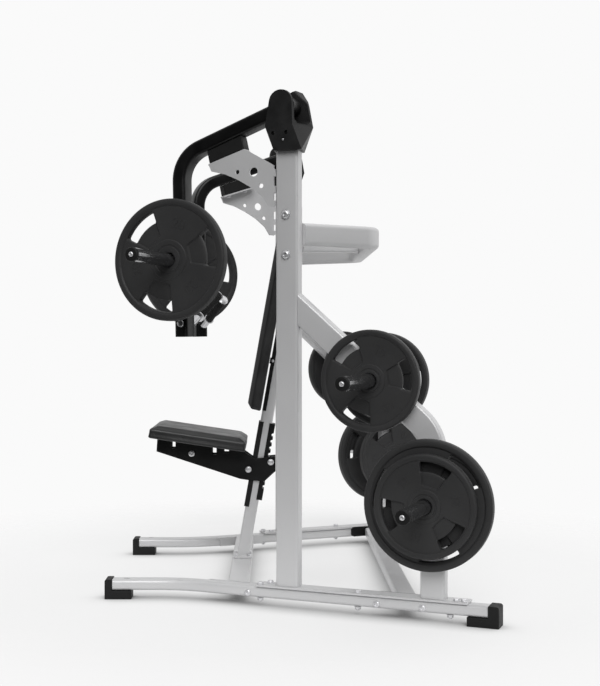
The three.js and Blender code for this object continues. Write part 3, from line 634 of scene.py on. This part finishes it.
def add_grip(side, tip, heading):
    """A knurled sleeve between two bright collars."""
    body = f"{side.name}_arm"
    length = GRIP["length"]
    start = tip - heading * (length + GRIP["from_tip"])
    ridges = 34
    profile = [(HANDLE["r"], 0.0), (GRIP["r"] - 0.002, 0.0)]
    for i in range(ridges):
        low = 0.002 + (length - 0.004) * i / ridges
        step = (length - 0.004) / ridges
        profile += [(GRIP["r"] - 0.0010, low), (GRIP["r"], low + step * 0.3), (GRIP["r"], low + step * 0.7)]
    profile += [(GRIP["r"] - 0.002, length), (HANDLE["r"], length), (HANDLE["r"], 0.0)]
    bm = bmesh.new()
    lathe(bm, profile, start, heading, 36)
    add(f"{side.name}_grip_sleeve", bm, "rubber", body, side.matrix, [f"{side.name}_handle_grip"], angle=50)
    bm = bmesh.new()
    collar = [(HANDLE["r"], 0), (0.0215, 0), (0.0230, 0.0015), (0.0230, 0.0045), (0.0215, 0.006),
              (HANDLE["r"], 0.006), (HANDLE["r"], 0)]
    lathe(bm, collar, start - heading * 0.0062, heading, 36)
    dome = [(0, 0.008), (0.010, 0.0072), (0.018, 0.0052), (0.0225, 0.002), (0.0225, 0.0), (0, 0.0)]
    lathe(bm, dome, tip - heading * 0.0055, heading, 36)
    add(f"{side.name}_grip_collars", bm, "steel", body, side.matrix)


# ------------------------------------------------------------ horns

def horn_parts(side, name, body, place, axis, tips, collars, replaces):
    """A horn tube with collars, and at each tip a rounded end cap held by a button screw."""
    tube = bmesh.new()
    start, end = tips
    cap = 0.012
    shell = [(0, start + cap), (HORN_R, start + cap), (HORN_R, end - cap), (0, end - cap)] if start < 0 else \
        [(0, start), (HORN_R, start), (HORN_R, end - cap), (0, end - cap)]
    lathe(tube, shell, place, axis, 40)
    radius, thick = HORN_COLLAR
    for face in collars:
        back = face + thick
        ring = [(HORN_R, face), (radius - 0.0015, face), (radius, face + 0.0015), (radius, back - 0.0015),
                (radius - 0.0015, back), (HORN_R, back), (HORN_R, face)]
        lathe(tube, ring, place, axis, 40)
    add(f"{side.name}_{name}_tube", tube, "chrome", body, side.matrix, replaces)
    caps = bmesh.new()
    screws = bmesh.new()
    ends = [(end, Vector(axis))] + ([(start, -Vector(axis))] if start < 0 else [])
    for reach, heading in ends:
        tip = Vector(place) + Vector(axis) * reach
        profile = [(0, -cap), (HORN_R + 0.0004, -cap), (HORN_R + 0.0004, -0.005)]
        profile += [(HORN_R - 0.0046 + 0.005 * math.cos(t), -0.005 + 0.005 * math.sin(t))
                    for t in (0.4, 0.8, 1.2, TAU / 4)]
        profile += [(0.0115, 0.0), (0.0110, -0.0012), (0, -0.0012)]
        lathe(caps, profile, tip, heading, 40)
        button(screws, tip - heading * 0.0012, heading, 0.0092, 0.0042)
    add(f"{side.name}_{name}_caps", caps, "rubber", body, side.matrix)
    add(f"{side.name}_{name}_screws", screws, "steel", body, side.matrix)


def add_horns(side):
    body = f"{side.name}_arm"
    low, high = side.span(f"{side.name}_arm_horn")
    axis = Vector((0, math.cos(HORN_TILT), math.sin(HORN_TILT)))
    centre = side.centre(f"{side.name}_arm_horn")
    root = Vector((centre.x, 0, centre.z - math.tan(HORN_TILT) * centre.y))
    start = ARM["width"] / 2 + 0.001
    length = high.y / math.cos(HORN_TILT)
    horn_parts(side, "arm_horn", body, root, axis, (start, length), (ARM_STOP,), [f"{side.name}_arm_horn"])
    for name in ("upper_storage_horn", "lower_storage_horn"):
        node = f"{side.name}_{name}"
        low, high = side.span(node)
        centre = side.centre(node)
        place = Vector((centre.x, 0, (low.z + high.z) / 2))
        face = UPRIGHT["width"] / 2 + 0.0003
        collars = (face, -face - HORN_COLLAR[1])
        horn_parts(side, name, "frame", place, (0, 1, 0), (low.y, high.y), collars, [node])


# ------------------------------------------------------------ fasteners

def button(bm, place, axis, radius, height):
    """A button-head screw with a hexagon socket."""
    profile = [(0, height * 0.45), (radius * 0.42, height * 0.45), (radius * 0.46, height * 0.97)]
    dome = [(0.5 + 0.5 * math.sin(t), 0.97 * math.cos(t)) for t in (0.25, 0.6, 1.0, 1.35)]
    profile += [(radius * x, height * z) for x, z in dome]
    profile += [(radius, 0.0), (radius, -0.0008), (0, -0.0008)]
    lathe(bm, profile, place, axis, 24)


def washer(bm, place, axis, inner, outer, thick):
    profile = [(inner, 0), (outer - 0.0004, 0), (outer, 0.0004), (outer, thick - 0.0004),
               (outer - 0.0004, thick), (inner, thick), (inner, 0)]
    lathe(bm, profile, place, axis, 28)


def hexagon(bm, place, axis, across, height):
    """A hexagon head or nut with a chamfered face."""
    axis = Vector(axis).normalized()
    first = axis.orthogonal().normalized()
    second = axis.cross(first)
    radius = across / math.sqrt(3)
    rings = []
    for level, share in ((0, 0.97), (0.001, 1.0), (height - 0.0015, 1.0), (height, 0.88)):
        angles = [TAU * i / 6 for i in range(6)]
        ring = [Vector(place) + axis * level + (first * math.cos(t) + second * math.sin(t)) * radius * share
                for t in angles]
        rings.append(ring)
    loft(bm, rings)


def bolt(bm, place, axis, size):
    """A washer with a hexagon head of a standard size on it."""
    washer(bm, place, axis, size * 0.5, size * 1.05, 0.002)
    hexagon(bm, Vector(place) + Vector(axis).normalized() * 0.002, axis, size * 1.7, size * 0.62)


def stud_and_nut(bm, place, axis, size):
    """A nut on a washer with the end of its bolt standing through."""
    heading = Vector(axis).normalized()
    washer(bm, place, axis, size * 0.5, size * 1.1, 0.002)
    hexagon(bm, Vector(place) + heading * 0.002, axis, size * 1.7, size * 0.8)
    top = Vector(place) + heading * (0.002 + size * 0.8)
    lathe(bm, [(0, 0.004), (size * 0.42, 0.004), (size * 0.5, 0.003), (size * 0.5, -0.001), (0, -0.001)],
          top, axis, 20)


def add_side_bolts(side):
    up, down, outward, inward = (0, 0, 1), (0, 0, -1), (0, 1, 0), (0, -1, 0)
    base_top = side.span(f"{side.name}_base_plate")[1].z
    rail_low = RAIL["bottom"]
    half_rail = RAIL["width"] / 2
    bm = bmesh.new()
    for x in (-0.105, -0.080, 0.268, 0.621, 0.648):
        bolt(bm, (x, 0.018 if x != -0.080 else -0.018, base_top), up, 0.011)
    for x in (-0.105, 0.268, 0.600):
        stud_and_nut(bm, (x, 0.018, rail_low), down, 0.011)
    add(f"{side.name}_base_bolts", bm, "steel", "frame", side.matrix)
    bm = bmesh.new()
    for x in (-0.151, 0.340, 0.505):
        button(bm, (x, half_rail, 0.047), outward, 0.0125, 0.006)
    add(f"{side.name}_rail_bolts", bm, "steel", "frame", side.matrix)
    bm = bmesh.new()
    half = UPRIGHT["width"] / 2
    for z in (1.275, 1.420):
        washer(bm, (-0.003, half, z), outward, 0.008, 0.0185, 0.0022)
        button(bm, (-0.003, half + 0.0022, z), outward, 0.0155, 0.0085)
        bolt(bm, (-0.003, -half - 0.0083, z), inward, 0.014)
    add(f"{side.name}_tie_bolts", bm, "steel", "frame", side.matrix)


def add_housing_screws(side):
    _, high = side.span(f"{side.name}_pivot_housing")
    dark = bmesh.new()
    for x, z in ((-0.045, 1.712), (0.006, 1.713)):
        button(dark, (x, high.y - 0.0062, z), (0, 1, 0), 0.0062, 0.003)
    add(f"{side.name}_housing_screws", dark, "black_paint", "frame", side.matrix)
    light = bmesh.new()
    button(light, (-0.007, high.y - 0.0062, 1.688), (0, 1, 0), 0.0052, 0.0042)
    add(f"{side.name}_housing_grub", light, "steel", "frame", side.matrix)


def add_gusset_bolts(side):
    """Two bolts up through the flange into the stop block's seat."""
    slope = math.atan2(0.048, 0.146)
    down = (math.sin(slope), 0, -math.cos(slope))
    bm = bmesh.new()
    for x, z in ((-0.284, 1.6205), (-0.208, 1.6455)):
        bolt(bm, (x, -0.006, z), down, 0.010)
    add(f"{side.name}_gusset_bolts", bm, "steel", "frame", side.matrix)


def add_middle_bolts():
    outer = 0.0426
    bm = bmesh.new()
    for x, z in ((-0.406, 0.500), (-0.173, 0.435), (-0.0815, 0.465)):
        for sign in (-1, 1):
            button(bm, (x, sign * outer, z), (0, sign, 0), 0.0132, 0.0055)
    add("seat_carriage_bolts", bm, "steel", "seat")
    bm = bmesh.new()
    centre = POST_FOOT_X + 0.080 * math.tan(POST_LEAN)
    for dx in (-0.027, 0.027):
        for y in (-0.040, 0.040):
            bolt(bm, (centre + dx, y, 0.080), (0, 0, 1), 0.009)
    add("post_foot_bolts", bm, "steel", "frame")
    bm = bmesh.new()
    for v in (0.890, 1.210):
        for sign in (-1, 1):
            button(bm, POST @ Vector((-0.018, sign * 0.0343, v)), (0, sign, 0), 0.0060, 0.0035)
    add("bracket_bolts", bm, "steel", "frame")


# ------------------------------------------------------------ weight plates

def plate_stations(radius, thick):
    """Rings of a plate from bore to rim: (share of radius, depth of plain face, depth in a pocket)."""
    bore = 0.0262 / radius
    return [
        (bore, 0.0050, 0.0050), (bore + 0.020, 0.0015, 0.0015), (bore + 0.030, 0.0010, 0.0010),
        (0.205, 0.0010, 0.0010), (0.215, 0.0034, 0.0034), (0.238, 0.0034, 0.0034), (0.248, 0.0016, 0.0016),
        (0.315, 0.0016, 0.0016), (0.328, 0.0040, 0.0040), (0.372, 0.0040, 0.0040), (0.395, 0.0040, 0.0095),
        (0.45, 0.0040, 0.0100), (0.52, 0.0040, 0.0100), (0.59, 0.0040, 0.0100), (0.645, 0.0040, 0.0100),
        (0.660, 0.0042, 0.0110), (0.70, 0.0040, 0.0110), (0.755, 0.0040, 0.0110), (0.81, 0.0040, 0.0110),
        (0.850, 0.0042, 0.0110), (0.862, 0.0044, 0.0060), (0.878, 0.0046, 0.0046), (0.892, 0.0012, 0.0012),
        (0.905, 0.0, 0.0), (0.970, 0.0, 0.0), (0.986, 0.0014, 0.0014), (0.996, 0.0045, 0.0045),
        (1.0, 0.0085, 0.0085),
    ]


def plate_mesh(radius, thick):
    """A weight plate about the y axis, its back face at y = 0, with three hand slots and their pockets."""
    bm = bmesh.new()
    around = 144
    half_slot = 9
    stations = plate_stations(radius, thick)
    inner_ring, outer_ring = 15, 19
    straight = (9, 10)

    def offset(j):
        return (j + around // 6) % (around // 3) - around // 6

    faces = {}
    for front in (True, False):
        grid = []
        for k, (share, plain, pocket) in enumerate(stations):
            ring = []
            for j in range(around):
                off = offset(j)
                inside = abs(off) <= half_slot - 1
                r = share * radius
                if k in straight and abs(off) <= half_slot:
                    r /= math.cos(off * TAU / around)
                depth = pocket if inside else plain
                y = thick - depth if front else depth
                t = j * TAU / around
                ring.append(bm.verts.new((r * math.cos(t), y, r * math.sin(t))))
            grid.append(ring)
        faces[front] = grid
    removed = set()
    for k in range(len(stations) - 1):
        for j in range(around):
            j2 = (j + 1) % around
            a, b = offset(j), offset(j2)
            in_slot = inner_ring <= k < outer_ring and -half_slot <= a < half_slot and b == a + 1
            if in_slot:
                removed.add((k, j))
                continue
            for front, grid in faces.items():
                corners = (grid[k][j], grid[k][j2], grid[k + 1][j2], grid[k + 1][j])
                bm.faces.new(corners if front else tuple(reversed(corners)))
    front_grid, back_grid = faces[True], faces[False]
    for k in (0, len(stations) - 1):
        for j in range(around):
            j2 = (j + 1) % around
            bm.faces.new((front_grid[k][j], front_grid[k][j2], back_grid[k][j2], back_grid[k][j]))
    upright = []
    for k, j in removed:
        j2 = (j + 1) % around
        walls = [((k - 1, j), (k, j), (k, j2)), ((k + 1, j), (k + 1, j), (k + 1, j2)),
                 ((k, (j - 1) % around), (k, j), (k + 1, j)), ((k, j2), (k, j2), (k + 1, j2))]
        for neighbour, (k1, j1), (k2, j3) in walls:
            if neighbour in removed:
                continue
            bm.faces.new((front_grid[k1][j1], front_grid[k2][j3], back_grid[k2][j3], back_grid[k1][j1]))
    for i in range(3):
        middle = i * around // 3
        for j in (middle - half_slot, middle + half_slot):
            for k in (inner_ring, outer_ring):
                pair = (front_grid[k][j % around], back_grid[k][j % around])
                upright.append(bm.edges.get(pair))
    bm.verts.ensure_lookup_table()
    bmesh.ops.bevel(bm, geom=[e for e in upright if e], offset=0.045 * radius, segments=5, profile=0.5,
                    affect="EDGES", clamp_overlap=True)
    bmesh.ops.recalc_face_normals(bm, faces=bm.faces)
    rim = [e for e in bm.edges if len(e.link_faces) == 2 and is_slot_edge(e, radius)]
    bmesh.ops.bevel(bm, geom=rim, offset=0.0018, segments=2, profile=0.5, affect="EDGES", clamp_overlap=True)
    return bm


def is_slot_edge(edge, radius):
    """True on the edge between a slot's wall and a face of the plate."""
    walls = [abs(face.normal.y) < 0.3 for face in edge.link_faces]
    middle = (edge.verts[0].co + edge.verts[1].co) / 2
    r = math.hypot(middle.x, middle.z) / radius
    return walls[0] != walls[1] and 0.62 < r < 0.88 and edge.calc_face_angle(0) > math.radians(40)


def number_mesh(text, size):
    """A flat raised number, drawn in x and y and standing up along z."""
    curve = bpy.data.curves.new("number", "FONT")
    curve.body = text
    curve.size = size
    curve.extrude = 0.0012
    curve.bevel_depth = 0.0003
    curve.align_x = "CENTER"
    curve.align_y = "CENTER"
    holder = bpy.data.objects.new("number", curve)
    bpy.context.scene.collection.objects.link(holder)
    bpy.context.view_layer.update()
    evaluated = holder.evaluated_get(bpy.context.evaluated_depsgraph_get())
    mesh = bpy.data.meshes.new_from_object(evaluated)
    bpy.data.objects.remove(holder)
    bm = bmesh.new()
    bm.from_mesh(mesh)
    bpy.data.meshes.remove(mesh)
    bmesh.ops.remove_doubles(bm, verts=bm.verts, dist=0.00001)
    return bm


def add_plate(side, name, tilt=0.0):
    node = f"{side.name}_{name}_plate"
    low, high = side.span(node)
    centre = side.centre(node)
    outward = centre.y > 0
    big = name in ("arm", "lower_big")
    radius = BIG_PLATE_R if big else (high.x - low.x) / 2
    thick = 0.040 if big else 0.035
    bm = plate_mesh(radius, thick)
    number = "20" if big else "10"
    for i in range(3):
        t = TAU / 6 + i * TAU / 3
        at = Vector((math.cos(t), 0, math.sin(t))) * radius * 0.60
        spin = Matrix.Rotation(TAU / 4 - t, 4, "Y")
        lay = Matrix.Rotation(TAU / 4, 4, "X")
        digits = number_mesh(number, radius * 0.24)
        merge(bm, digits, Matrix.Translation(at + Vector((0, thick - 0.0045, 0))) @ spin @ lay)
    turn = Matrix.Rotation(-math.radians(PLATE_TURN[name]), 4, "Y")
    lean = Matrix.Rotation(tilt, 4, "X")
    flip = Matrix.Identity(4) if outward else Matrix.Rotation(math.pi, 4, "Z")
    middle = Matrix.Translation((0, -thick / 2, 0))
    place = Matrix.Translation(centre) @ lean @ turn @ flip @ middle
    body = f"{side.name}_{name}_weight"
    add(f"{side.name}_{name}_disc", bm, "plate_rubber", body, side.matrix @ place, [node], angle=38)


# ------------------------------------------------------------ pads

def pad_rings(length, width, levels):
    """Rings of a pad: each level is (height, inset, corner radius)."""
    rings = []
    for height, inset, radius in levels:
        outline = rounded(length - 2 * inset, width - 2 * inset, radius, 8)
        rings.append([Vector((x, y, height)) for x, y in outline])
    return rings


def stuffed(name, rings, cap, board):
    """A padded piece: the rings' shape remeshed, blown up a little as cloth, and held flat up to the board's
    height. It comes back as a new object in its own axes."""
    bm = bmesh.new()
    loft(bm, rings)
    bmesh.ops.recalc_face_normals(bm, faces=bm.faces)
    mesh = bpy.data.meshes.new(name)
    bm.to_mesh(mesh)
    bm.free()
    piece = bpy.data.objects.new(name, mesh)
    bpy.context.scene.collection.objects.link(piece)
    remesh = piece.modifiers.new("remesh", "REMESH")
    remesh.mode = "VOXEL"
    remesh.voxel_size = PAD_VOXEL
    apply_modifiers(piece)
    inflate(piece, cap, board)
    smooth = piece.modifiers.new("smooth", "SMOOTH")
    smooth.factor = 0.5
    smooth.iterations = 1
    fine = piece.modifiers.new("fine", "SUBSURF")
    fine.levels = 1
    fine.render_levels = 1
    apply_modifiers(piece)
    for polygon in piece.data.polygons:
        polygon.use_smooth = True
    return piece


def apply_modifiers(piece):
    bpy.context.view_layer.update()
    evaluated = piece.evaluated_get(bpy.context.evaluated_depsgraph_get())
    result = bpy.data.meshes.new_from_object(evaluated)
    piece.modifiers.clear()
    piece.data = result


def inflate(piece, cap, board):
    """Cloth with pressure and no gravity. No point moves further than the cap, nor at all below the board."""
    count = len(piece.data.vertices)
    rest = np.empty(count * 3)
    piece.data.vertices.foreach_get("co", rest)
    rest = rest.reshape(-1, 3)
    cloth = piece.modifiers.new("cloth", "CLOTH")
    cloth.settings.quality = 4
    cloth.settings.mass = 0.3
    cloth.settings.tension_stiffness = 25
    cloth.settings.compression_stiffness = 25
    cloth.settings.bending_stiffness = 2.0
    cloth.settings.use_pressure = True
    cloth.settings.uniform_pressure_force = 4.0
    cloth.settings.effector_weights.gravity = 0.0
    cloth.point_cache.frame_start = 1
    cloth.point_cache.frame_end = 20
    for step in range(1, 21):
        bpy.context.scene.frame_set(step)
    evaluated = piece.evaluated_get(bpy.context.evaluated_depsgraph_get())
    moved = np.empty(count * 3)
    evaluated.data.vertices.foreach_get("co", moved)
    shift = moved.reshape(-1, 3) - rest
    far = np.maximum(np.linalg.norm(shift, axis=1, keepdims=True), 1e-9)
    shift *= np.minimum(1.0, cap / far)
    shift *= np.clip((rest[:, 2:] - board) / 0.012, 0, 1)
    piece.modifiers.clear()
    piece.data.vertices.foreach_set("co", (rest + shift).ravel())
    bpy.context.scene.frame_set(1)


def finish_pad(piece, matrix, body, node):
    piece.data.transform(matrix)
    piece.data.materials.clear()
    piece.data.materials.append(MATERIALS["vinyl"])
    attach(piece, body)
    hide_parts(node)


def add_seat_pad():
    low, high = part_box("seat_pad")
    tilt = math.atan(0.148)
    length = (high.x - low.x - 0.004) / math.cos(tilt)
    width = high.y - low.y - 0.004
    levels = [(0.001, 0.004, 0.006), (0.003, 0.001, 0.008), (0.036, 0.001, 0.008), (0.038, 0.002, 0.008),
              (0.0505, 0.029, 0.006), (0.0520, 0.032, 0.006), (0.0520, 0.070, 0.004)]
    piece = stuffed("seat_cushion", pad_rings(length, width, levels), 0.002, 0.008)
    centre = Vector(((low.x + high.x) / 2, 0, 0.576 - (high.x - low.x) / 2 * 0.148))
    matrix = Matrix.Translation(centre) @ Matrix.Rotation(tilt, 4, "Y")
    finish_pad(piece, matrix, "seat", "seat_pad")


def add_back_pad():
    half = 0.150
    low, high = 0.684, 1.400
    front, rear = -0.088, -0.030
    depth = rear - front
    levels = [(0.001, 0.004, 0.008), (0.003, 0.001, 0.010), (depth - 0.021, 0.001, 0.010),
              (depth - 0.019, 0.002, 0.010), (depth - 0.004, 0.0195, 0.008), (depth - 0.002, 0.023, 0.008),
              (depth - 0.002, 0.070, 0.004)]
    piece = stuffed("back_cushion", pad_rings(high - low, 2 * half, levels), 0.002, 0.008)
    # its own axes are x up the post, y across and z to the front
    turn = Matrix(((0, 0, -1), (0, 1, 0), (1, 0, 0))).to_4x4()
    matrix = POST @ Matrix.Translation((rear, 0, (low + high) / 2)) @ turn
    finish_pad(piece, matrix, "frame", "back_pad")


# ------------------------------------------------------------ camera, light and floor

def add_camera():
    data = bpy.data.cameras.new("camera")
    camera = bpy.data.objects.new("camera", data)
    bpy.context.scene.collection.objects.link(camera)
    camera.location = CAMERA["place"]
    camera.rotation_euler = (math.radians(90), 0, 0)
    data.lens = CAMERA["lens"]
    data.shift_x, data.shift_y = CAMERA["shift"]
    bpy.context.scene.camera = camera


def add_sun(name, direction, strength, angle):
    data = bpy.data.lights.new(name, "SUN")
    data.energy = strength
    data.angle = math.radians(angle)
    sun = bpy.data.objects.new(name, data)
    sun.rotation_mode = "QUATERNION"
    sun.rotation_quaternion = Vector(direction).to_track_quat("Z", "Y")
    bpy.context.scene.collection.objects.link(sun)


def add_world():
    """A studio: plain white to the camera, and to the object bright above and behind but dark in front."""
    world = bpy.data.worlds.new("studio")
    bpy.context.scene.world = world
    world.use_nodes = True
    tree = world.node_tree
    nodes, links = tree.nodes, tree.links
    plain = nodes["Background"]
    plain.inputs["Color"].default_value = (0.956, 0.956, 0.956, 1)
    room = nodes.new("ShaderNodeBackground")
    coordinates = nodes.new("ShaderNodeTexCoord")
    split = nodes.new("ShaderNodeSeparateXYZ")
    links.new(coordinates.outputs["Generated"], split.inputs[0])
    strength = None
    for axis, start, end, low, high in ROOM:
        ramp = nodes.new("ShaderNodeMapRange")
        ramp.interpolation_type = "SMOOTHSTEP"
        ramp.inputs["From Min"].default_value = start
        ramp.inputs["From Max"].default_value = end
        ramp.inputs["To Min"].default_value = low
        ramp.inputs["To Max"].default_value = high
        links.new(split.outputs[axis], ramp.inputs["Value"])
        if strength is None:
            strength = ramp.outputs["Result"]
            continue
        product = nodes.new("ShaderNodeMath")
        product.operation = "MULTIPLY"
        links.new(strength, product.inputs[0])
        links.new(ramp.outputs["Result"], product.inputs[1])
        strength = product.outputs[0]
    links.new(strength, room.inputs["Strength"])
    path = nodes.new("ShaderNodeLightPath")
    mix = nodes.new("ShaderNodeMixShader")
    links.new(path.outputs["Is Camera Ray"], mix.inputs[0])
    links.new(room.outputs[0], mix.inputs[1])
    links.new(plain.outputs[0], mix.inputs[2])
    links.new(mix.outputs[0], nodes["World Output"].inputs["Surface"])


def add_floor():
    """A pale round floor that glows, with painted contact shadow dimming the glow where parts stand close
    above or beside it, and that fades into the white background.
    """
    size = 2.4
    bm = bmesh.new()
    bm.faces.new([bm.verts.new((x, y, 0)) for x, y in circle(size, 96)])
    mesh = bpy.data.meshes.new("floor")
    bm.to_mesh(mesh)
    bm.free()
    made = Finish("floor", (0.36, 0.36, 0.36), 0.9, specular=0.0)
    made.mottle(3.0, (0.362, 0.362, 0.362))
    # painted shadow: ambient occlusion darkens the floor's glow under and beside the parts
    painted_shadow_ao = made.tree.nodes.new("ShaderNodeAmbientOcclusion")
    painted_shadow_ao.inputs["Distance"].default_value = 0.12
    glow_with_painted_shadow = made.ranged(painted_shadow_ao.outputs["AO"], 0.15, 0.95, 0, 1)
    made.tree.links.new(glow_with_painted_shadow, made.shader.inputs["Emission Color"])
    made.shader.inputs["Emission Strength"].default_value = FLOOR_GLOW
    far = made.tree.nodes.new("ShaderNodeVectorMath")
    far.operation = "LENGTH"
    made.tree.links.new(made.coordinates, far.inputs[0])
    made.tree.links.new(made.ranged(far.outputs["Value"], 1.3, 2.3, 1, 0), made.shader.inputs["Alpha"])
    mesh.materials.append(made.material)
    floor = bpy.data.objects.new("floor", mesh)
    bpy.context.scene.collection.objects.link(floor)


# ------------------------------------------------------------ put together

add_camera()
dress_frame()
for side in SIDES:
    add_rail(side)
    add_upright(side)
    add_brace(side)
    add_arm(side)
    add_arm_plug(side)
    add_handle(side)
    add_horns(side)
    for plate_name in ("upper_outer", "upper_inner", "lower_big", "lower_outer", "lower_inner"):
        add_plate(side, plate_name)
    add_plate(side, "arm", HORN_TILT)
    add_side_bolts(side)
    add_housing_screws(side)
    add_gusset_bolts(side)
add_tie()
add_middle_bolts()
add_seat_pad()
add_back_pad()
add_world()
add_sun("key", (0.05, -0.78, 0.60), 2.2, 45)
add_floor()
bpy.context.scene.view_settings.view_transform = "Standard"
